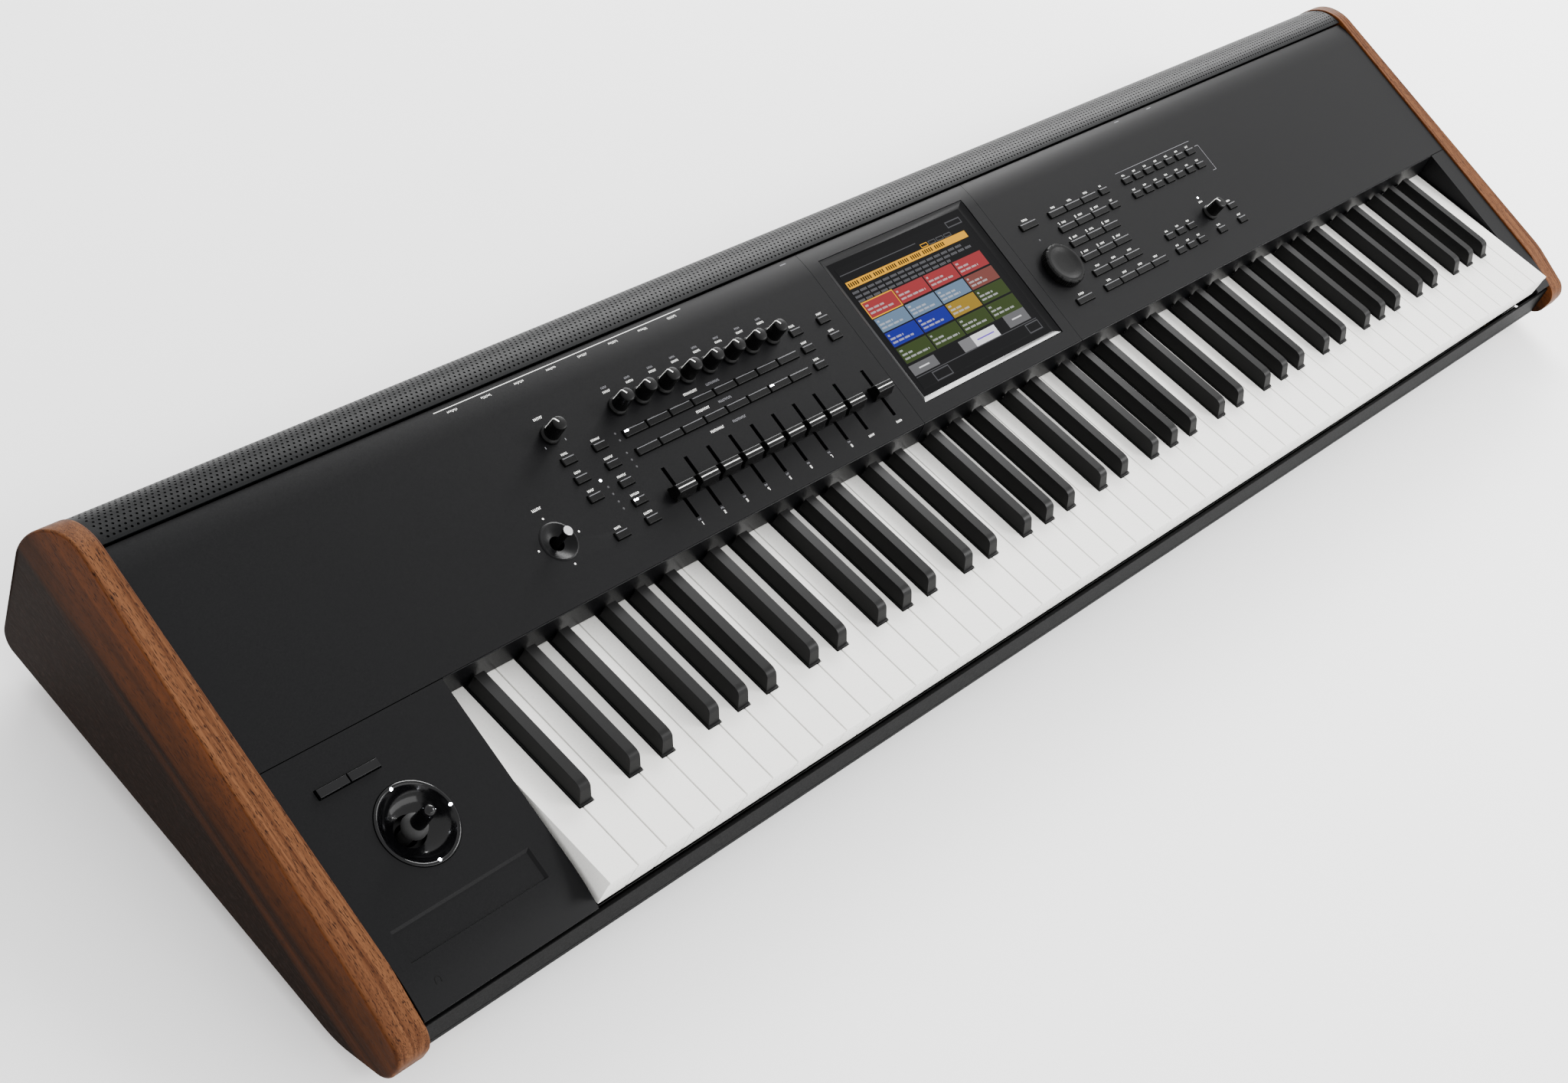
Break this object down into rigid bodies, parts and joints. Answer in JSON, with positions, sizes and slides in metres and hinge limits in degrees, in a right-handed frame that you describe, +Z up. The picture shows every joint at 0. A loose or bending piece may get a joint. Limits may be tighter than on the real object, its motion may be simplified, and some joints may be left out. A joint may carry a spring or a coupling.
{
  "type": "synthesizer keyboard",
  "caption": "Stage synthesizer: weighted keyboard, sloping control panel with touch display, knobs, sliders and joysticks, wooden cheeks.",
  "frame": {"origin": "middle of the footprint of the whole instrument, on the plane that its feet stand on", "axes": "+X to the right along the keys, +Y from the player to the back, +Z up"},
  "size_m": [1.43, 0.3564, 0.1384],
  "materials": {
    "cheek_wood": "stained and satin lacquered, grain along the depth",
    "panel_metal": "fine matte powder coat",
    "white_key_plastic": "polished moulding",
    "black_key_plastic": "satin moulding",
    "control_plastic": "fine satin moulding",
    "gloss_plastic": "high gloss moulding",
    "screen_glass": "gloss front glass of a lit display",
    "foot_rubber": "moulded",
    "frame_steel": "zinc plated sheet",
    "circuit_board": "solder mask over laminate"
  },
  "bodies": {
    "case": {"bottom_case": "panel_metal", "display_panel": "panel_metal", "fallboard": "panel_metal", "foot_front_left": "foot_rubber", "foot_front_right": "foot_rubber", "foot_rear_left": "foot_rubber", "foot_rear_right": "foot_rubber", "front_rail": "panel_metal", "jack_board": "circuit_board", "joystick_dish": "gloss_plastic", "joystick_panel": "panel_metal", "keybed_frame": "frame_steel", "left_cheek": "cheek_wood", "left_top_panel": "panel_metal", "main_board": "circuit_board", "power_inlet": "control_plastic", "power_supply": "frame_steel", "rear_panel": "panel_metal", "right_cheek": "cheek_wood", "right_key_block": "panel_metal", "right_top_panel": "panel_metal", "touch_display": "screen_glass", "vent_grille": "panel_metal"},
    "white_keys_low": {"white_keys_low": "white_key_plastic"},
    "white_key_middle_c": {"white_key_middle_c": "white_key_plastic"},
    "white_keys_high": {"white_keys_high": "white_key_plastic"},
    "black_keys_low": {"black_keys_low": "black_key_plastic"},
    "black_key_middle_c_sharp": {"black_key_middle_c_sharp": "black_key_plastic"},
    "black_keys_high": {"black_keys_high": "black_key_plastic"},
    "left_buttons": {"left_buttons": "control_plastic"},
    "mixer_buttons": {"mixer_buttons": "control_plastic"},
    "right_buttons": {"right_buttons": "control_plastic"},
    "assign_switch_1": {"assign_switch_1": "gloss_plastic"},
    "assign_switch_2": {"assign_switch_2": "gloss_plastic"},
    "mix_slider_1": {"mix_slider_1": "control_plastic"},
    "mix_slider_2": {"mix_slider_2": "control_plastic"},
    "mix_slider_3": {"mix_slider_3": "control_plastic"},
    "mix_slider_4": {"mix_slider_4": "control_plastic"},
    "mix_slider_5": {"mix_slider_5": "control_plastic"},
    "mix_slider_6": {"mix_slider_6": "control_plastic"},
    "mix_slider_7": {"mix_slider_7": "control_plastic"},
    "mix_slider_8": {"mix_slider_8": "control_plastic"},
    "master_slider": {"master_slider": "control_plastic"},
    "value_slider": {"value_slider": "control_plastic"},
    "control_knob_1": {"control_knob_1": "control_plastic"},
    "control_knob_2": {"control_knob_2": "control_plastic"},
    "control_knob_3": {"control_knob_3": "control_plastic"},
    "control_knob_4": {"control_knob_4": "control_plastic"},
    "control_knob_5": {"control_knob_5": "control_plastic"},
    "control_knob_6": {"control_knob_6": "control_plastic"},
    "control_knob_7": {"control_knob_7": "control_plastic"},
    "control_knob_8": {"control_knob_8": "control_plastic"},
    "main_volume_knob": {"main_volume_knob": "control_plastic"},
    "tempo_knob": {"tempo_knob": "control_plastic"},
    "value_dial": {"value_dial": "control_plastic"},
    "vector_gimbal": {"vector_gimbal": "frame_steel"},
    "vector_stick": {"vector_stick": "control_plastic"},
    "joystick_gimbal": {"joystick_gimbal": "frame_steel"},
    "joystick_lever": {"joystick_lever": "gloss_plastic"},
    "power_switch": {"power_switch": "control_plastic"}
  },
  "joints": [
    {"name": "white_keys_low_press", "type": "hinge", "parent": "case", "child": "white_keys_low", "pos_m": [0, 0.04133, 0.069], "axis": [1, 0, 0], "range_deg": [0, 2.75], "stiffness_Nm_per_rad": 12.3, "springref_deg": -20.05},
    {"name": "white_key_middle_c_press", "type": "hinge", "parent": "case", "child": "white_key_middle_c", "pos_m": [0, 0.04133, 0.069], "axis": [1, 0, 0], "range_deg": [0, 2.75], "stiffness_Nm_per_rad": 0.54, "springref_deg": -20.05},
    {"name": "white_keys_high_press", "type": "hinge", "parent": "case", "child": "white_keys_high", "pos_m": [0, 0.04133, 0.069], "axis": [1, 0, 0], "range_deg": [0, 2.75], "stiffness_Nm_per_rad": 15, "springref_deg": -20.05},
    {"name": "black_keys_low_press", "type": "hinge", "parent": "case", "child": "black_keys_low", "pos_m": [0, 0.04133, 0.08], "axis": [1, 0, 0], "range_deg": [0, 3.4], "stiffness_Nm_per_rad": 4.7, "springref_deg": -20.05},
    {"name": "black_key_middle_c_sharp_press", "type": "hinge", "parent": "case", "child": "black_key_middle_c_sharp", "pos_m": [0, 0.04133, 0.08], "axis": [1, 0, 0], "range_deg": [0, 3.4], "stiffness_Nm_per_rad": 0.29, "springref_deg": -20.05},
    {"name": "black_keys_high_press", "type": "hinge", "parent": "case", "child": "black_keys_high", "pos_m": [0, 0.04133, 0.08], "axis": [1, 0, 0], "range_deg": [0, 3.4], "stiffness_Nm_per_rad": 5.6, "springref_deg": -20.05},
    {"name": "left_buttons_press", "type": "slide", "parent": "case", "child": "left_buttons", "axis": [0, 0.2392, -0.971], "range_m": [0, 0.0008], "stiffness_N_per_m": 1500, "springref_m": -0.001},
    {"name": "mixer_buttons_press", "type": "slide", "parent": "case", "child": "mixer_buttons", "axis": [0, 0.2392, -0.971], "range_m": [0, 0.0008], "stiffness_N_per_m": 3000, "springref_m": -0.001},
    {"name": "right_buttons_press", "type": "slide", "parent": "case", "child": "right_buttons", "axis": [0, 0.2392, -0.971], "range_m": [0, 0.0008], "stiffness_N_per_m": 4000, "springref_m": -0.001},
    {"name": "assign_switch_1_press", "type": "slide", "parent": "case", "child": "assign_switch_1", "axis": [0, 0.2392, -0.971], "range_m": [0, 0.0012], "stiffness_N_per_m": 800, "springref_m": -0.001},
    {"name": "assign_switch_2_press", "type": "slide", "parent": "case", "child": "assign_switch_2", "axis": [0, 0.2392, -0.971], "range_m": [0, 0.0012], "stiffness_N_per_m": 800, "springref_m": -0.001},
    {"name": "mix_slider_1_travel", "type": "slide", "parent": "case", "child": "mix_slider_1", "axis": [0, 0.971, 0.2392], "range_m": [-0.0175, 0.0175]},
    {"name": "mix_slider_2_travel", "type": "slide", "parent": "case", "child": "mix_slider_2", "axis": [0, 0.971, 0.2392], "range_m": [-0.0175, 0.0175]},
    {"name": "mix_slider_3_travel", "type": "slide", "parent": "case", "child": "mix_slider_3", "axis": [0, 0.971, 0.2392], "range_m": [-0.0175, 0.0175]},
    {"name": "mix_slider_4_travel", "type": "slide", "parent": "case", "child": "mix_slider_4", "axis": [0, 0.971, 0.2392], "range_m": [-0.0175, 0.0175]},
    {"name": "mix_slider_5_travel", "type": "slide", "parent": "case", "child": "mix_slider_5", "axis": [0, 0.971, 0.2392], "range_m": [-0.0175, 0.0175]},
    {"name": "mix_slider_6_travel", "type": "slide", "parent": "case", "child": "mix_slider_6", "axis": [0, 0.971, 0.2392], "range_m": [-0.0175, 0.0175]},
    {"name": "mix_slider_7_travel", "type": "slide", "parent": "case", "child": "mix_slider_7", "axis": [0, 0.971, 0.2392], "range_m": [-0.0175, 0.0175]},
    {"name": "mix_slider_8_travel", "type": "slide", "parent": "case", "child": "mix_slider_8", "axis": [0, 0.971, 0.2392], "range_m": [-0.0175, 0.0175]},
    {"name": "master_slider_travel", "type": "slide", "parent": "case", "child": "master_slider", "axis": [0, 0.971, 0.2392], "range_m": [-0.0175, 0.0175]},
    {"name": "value_slider_travel", "type": "slide", "parent": "case", "child": "value_slider", "axis": [0, 0.971, 0.2392], "range_m": [-0.0175, 0.0175]},
    {"name": "control_knob_1_turn", "type": "hinge", "parent": "case", "child": "control_knob_1", "pos_m": [-0.3276, 0.08768, 0.12147], "axis": [0, -0.2392, 0.971], "range_deg": [-180, 120]},
    {"name": "control_knob_2_turn", "type": "hinge", "parent": "case", "child": "control_knob_2", "pos_m": [-0.30583, 0.08768, 0.12147], "axis": [0, -0.2392, 0.971], "range_deg": [-180, 120]},
    {"name": "control_knob_3_turn", "type": "hinge", "parent": "case", "child": "control_knob_3", "pos_m": [-0.28406, 0.08768, 0.12147], "axis": [0, -0.2392, 0.971], "range_deg": [-180, 120]},
    {"name": "control_knob_4_turn", "type": "hinge", "parent": "case", "child": "control_knob_4", "pos_m": [-0.26229, 0.08768, 0.12147], "axis": [0, -0.2392, 0.971], "range_deg": [-180, 120]},
    {"name": "control_knob_5_turn", "type": "hinge", "parent": "case", "child": "control_knob_5", "pos_m": [-0.24052, 0.08768, 0.12147], "axis": [0, -0.2392, 0.971], "range_deg": [-180, 120]},
    {"name": "control_knob_6_turn", "type": "hinge", "parent": "case", "child": "control_knob_6", "pos_m": [-0.21875, 0.08768, 0.12147], "axis": [0, -0.2392, 0.971], "range_deg": [-180, 120]},
    {"name": "control_knob_7_turn", "type": "hinge", "parent": "case", "child": "control_knob_7", "pos_m": [-0.19698, 0.08768, 0.12147], "axis": [0, -0.2392, 0.971], "range_deg": [-180, 120]},
    {"name": "control_knob_8_turn", "type": "hinge", "parent": "case", "child": "control_knob_8", "pos_m": [-0.17521, 0.08768, 0.12147], "axis": [0, -0.2392, 0.971], "range_deg": [-180, 120]},
    {"name": "main_volume_knob_turn", "type": "hinge", "parent": "case", "child": "main_volume_knob", "pos_m": [-0.388, 0.08885, 0.12176], "axis": [0, -0.2392, 0.971], "range_deg": [-180, 120]},
    {"name": "tempo_knob_turn", "type": "hinge", "parent": "case", "child": "tempo_knob", "pos_m": [0.3305, 0.02952, 0.10714], "axis": [0, -0.2392, 0.971], "range_deg": [-180, 120]},
    {"name": "value_dial_turn", "type": "hinge", "parent": "case", "child": "value_dial", "pos_m": [0.1282, 0.04273, 0.11039], "axis": [0, -0.2392, 0.971], "continuous": true},
    {"name": "vector_tilt_fore_aft", "type": "hinge", "parent": "case", "child": "vector_gimbal", "pos_m": [-0.4316, 0.02847, 0.09761], "axis": [1, 0, 0], "range_deg": [-16, 16], "stiffness_Nm_per_rad": 0.05},
    {"name": "vector_tilt_sideways", "type": "hinge", "parent": "vector_gimbal", "child": "vector_stick", "pos_m": [-0.4316, 0.02847, 0.09761], "axis": [0, 0.971, 0.2392], "range_deg": [-16, 16], "stiffness_Nm_per_rad": 0.05},
    {"name": "joystick_tilt_fore_aft", "type": "hinge", "parent": "case", "child": "joystick_gimbal", "pos_m": [-0.628, -0.0739, 0.06209], "axis": [1, 0, 0], "range_deg": [-14, 14], "stiffness_Nm_per_rad": 0.3},
    {"name": "joystick_tilt_sideways", "type": "hinge", "parent": "joystick_gimbal", "child": "joystick_lever", "pos_m": [-0.628, -0.0739, 0.06209], "axis": [0, 0.971, 0.2392], "range_deg": [-14, 14], "stiffness_Nm_per_rad": 0.3},
    {"name": "power_switch_rock", "type": "hinge", "parent": "case", "child": "power_switch", "pos_m": [0.523, 0.17253, 0.044], "axis": [1, 0, 0], "range_deg": [0, 12]}
  ]
}
